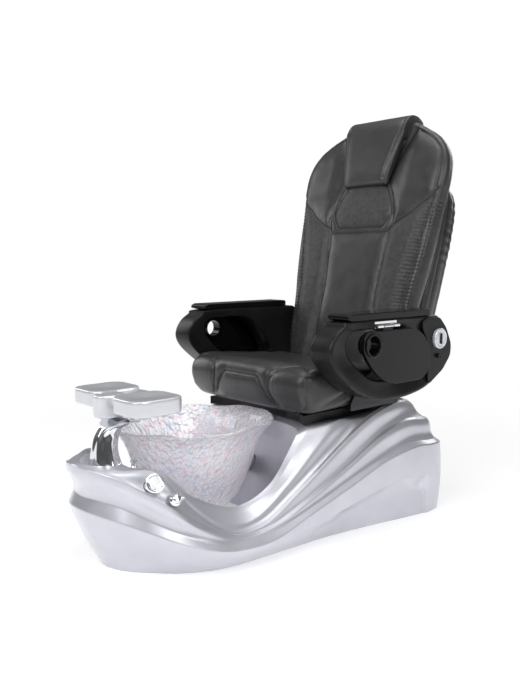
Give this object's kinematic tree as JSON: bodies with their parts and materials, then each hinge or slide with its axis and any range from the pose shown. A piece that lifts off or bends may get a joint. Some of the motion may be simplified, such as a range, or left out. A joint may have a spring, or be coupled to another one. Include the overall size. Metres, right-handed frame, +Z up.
{
  "type": "pedicure spa chair",
  "caption": "Reclining massage chair on a sliding seat above a wave-shaped base that holds a foot bowl with jet, drain, hand shower and tilting footrest.",
  "frame": {"origin": "on the floor, in the middle of the chair's floor rectangle", "axes": "+Z up, -Y the way the chair faces (towards the foot bowl), +X the sitter's left"},
  "size_m": [0.85, 1.478, 1.4473],
  "materials": {
    "pearl_shell": "silver pearl gelcoat over moulded fibreglass",
    "frame_steel": "plain mild steel, brushed",
    "bowl_glass": "clear rippled glass with a pearl tint",
    "chrome_fittings": "bright chrome plate",
    "grey_plastic": "mid grey, satin",
    "gloss_black": "piano black, polished",
    "silver_trim": "silver metallic lacquer",
    "matte_black": "fine-grained black",
    "black_leather": "black upholstery leather, soft sheen",
    "rubber": "black, matt"
  },
  "bodies": {
    "base": {"base_shell": "pearl_shell", "base_frame": "frame_steel", "levelling_foot_1": "rubber", "levelling_foot_2": "rubber", "levelling_foot_3": "rubber", "levelling_foot_4": "rubber", "bowl": "bowl_glass", "drain_flange": "chrome_fittings", "drain_pipe": "grey_plastic", "jet_housing": "gloss_black", "jet_cover": "chrome_fittings", "jet_motor": "grey_plastic", "shower_sleeve": "chrome_fittings", "mixer_valve": "frame_steel", "footrest_stand": "chrome_fittings", "footrest_pin": "frame_steel", "control_box": "grey_plastic", "power_inlet": "gloss_black", "drain_pump": "grey_plastic", "slide_channel_left": "frame_steel", "slide_channel_right": "frame_steel", "seat_skirt": "matte_black", "slide_actuator": "frame_steel"},
    "seat": {"seat_frame": "frame_steel", "recline_pin_left": "chrome_fittings", "recline_pin_right": "chrome_fittings", "slide_rod": "chrome_fittings", "seat_cushion": "black_leather", "armrest_left": "matte_black", "arm_top_left": "gloss_black", "arm_cover_left": "matte_black", "tray_hinge_left": "chrome_fittings", "tray_pin_left": "chrome_fittings", "armrest_right": "matte_black", "arm_top_right": "gloss_black", "arm_cover_right": "matte_black", "tray_hinge_right": "chrome_fittings", "tray_pin_right": "chrome_fittings"},
    "back": {"back_cushion": "black_leather", "headrest_pillow": "black_leather", "back_shell": "black_leather", "back_frame": "frame_steel", "massage_rail_left": "chrome_fittings", "massage_rail_right": "chrome_fittings"},
    "massage": {"massage_carriage": "grey_plastic", "roller_axle": "frame_steel"},
    "roller_left": {"massage_roller_left": "rubber"},
    "roller_right": {"massage_roller_right": "rubber"},
    "tray_left": {"tray_left": "gloss_black", "cup_ring_left": "gloss_black"},
    "tray_right": {"tray_right": "gloss_black", "cup_ring_right": "gloss_black"},
    "dial": {"control_dial": "silver_trim"},
    "button": {"call_button": "gloss_black"},
    "footrest": {"footrest": "silver_trim"},
    "hand_shower": {"hand_shower": "chrome_fittings"},
    "mixer_knob": {"mixer_knob": "chrome_fittings"},
    "drain_knob": {"drain_knob": "chrome_fittings"},
    "drain_stopper": {"drain_stopper": "chrome_fittings"},
    "impeller": {"jet_impeller": "grey_plastic"}
  },
  "joints": [
    {"name": "seat_slide", "type": "slide", "parent": "base", "child": "seat", "axis": [0, 1, 0], "range_m": [-0.06, 0.06]},
    {"name": "back_recline", "type": "hinge", "parent": "seat", "child": "back", "pos_m": [0, 0.361, 0.475], "axis": [-1, 0, 0], "range_deg": [0, 30]},
    {"name": "massage_travel", "type": "slide", "parent": "back", "child": "massage", "axis": [0, 0.2419, 0.9703], "range_m": [-0.13, 0.34]},
    {"name": "roller_left_spin", "type": "hinge", "parent": "massage", "child": "roller_left", "pos_m": [0, 0.55389, 0.73609], "axis": [1, 0, 0], "continuous": true},
    {"name": "roller_right_spin", "type": "hinge", "parent": "massage", "child": "roller_right", "pos_m": [0, 0.55389, 0.73609], "axis": [1, 0, 0], "continuous": true},
    {"name": "tray_left_swing", "type": "hinge", "parent": "seat", "child": "tray_left", "pos_m": [0.4125, 0.166, 0.704], "axis": [0, -1, 0], "range_deg": [0, 90]},
    {"name": "tray_right_swing", "type": "hinge", "parent": "seat", "child": "tray_right", "pos_m": [-0.4125, 0.166, 0.704], "axis": [0, 1, 0], "range_deg": [0, 90]},
    {"name": "dial_turn", "type": "hinge", "parent": "seat", "child": "dial", "pos_m": [0.4064, 0.454, 0.642], "axis": [1, 0, 0], "range_deg": [-135, 135]},
    {"name": "button_press", "type": "slide", "parent": "seat", "child": "button", "axis": [-1, 0, 0], "range_m": [0, 0.002], "stiffness_N_per_m": 400, "springref_m": -0.001},
    {"name": "footrest_tilt", "type": "hinge", "parent": "base", "child": "footrest", "pos_m": [0, -0.574, 0.47], "axis": [1, 0, 0], "range_deg": [-12, 12]},
    {"name": "hand_shower_pull", "type": "slide", "parent": "base", "child": "hand_shower", "axis": [0.862, -0.1522, 0.4836], "range_m": [0, 0.12]},
    {"name": "mixer_turn", "type": "hinge", "parent": "base", "child": "mixer_knob", "pos_m": [0.238, -0.551, 0.2425], "axis": [0.862, -0.1522, 0.4836], "range_deg": [-40, 40]},
    {"name": "drain_knob_turn", "type": "hinge", "parent": "base", "child": "drain_knob", "pos_m": [0.043, -0.559, 0.2895], "axis": [0, 0, 1], "range_deg": [0, 90]},
    {"name": "drain_stopper_lift", "type": "slide", "parent": "base", "child": "drain_stopper", "axis": [0, 0, 1], "range_m": [0, 0.008]},
    {"name": "impeller_spin", "type": "hinge", "parent": "base", "child": "impeller", "pos_m": [0, -0.105, 0.232], "axis": [0, 0.9285, -0.3712], "continuous": true}
  ],
  "couplings": [
    {"joint": "drain_knob_turn", "follows": "drain_stopper_lift", "rad_per_m": 196.35}
  ]
}
